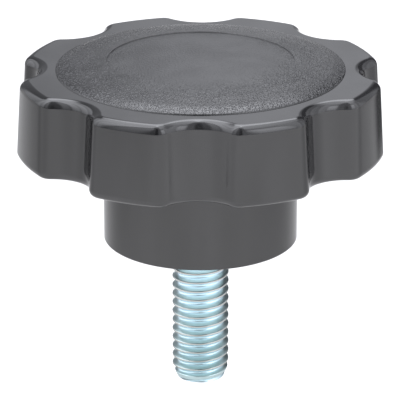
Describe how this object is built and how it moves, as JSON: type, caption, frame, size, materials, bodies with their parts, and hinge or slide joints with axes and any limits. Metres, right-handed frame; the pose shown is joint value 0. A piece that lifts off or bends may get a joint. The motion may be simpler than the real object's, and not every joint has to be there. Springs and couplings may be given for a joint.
{
  "type": "eight-arm knob with threaded stud",
  "caption": "Moulded hand knob with a lobed, fluted head, a domed grained face and a round hub, on a zinc-plated threaded stud.",
  "frame": {"origin": "on the stud's axis, in the flat underside of the hub", "axes": "+Z along the stud's axis towards the head; -Y is the side that the picture shows, and one flute faces it"},
  "size_m": [0.0602, 0.0602, 0.0569],
  "materials": {
    "black_plastic": "semi-gloss rim and hub, fine grained matt dome",
    "zinc_plated_steel": "bright blue-white zinc plating"
  },
  "bodies": {
    "root": {"knob_body": "black_plastic", "threaded_stud": "zinc_plated_steel"}
  },
  "joints": []
}
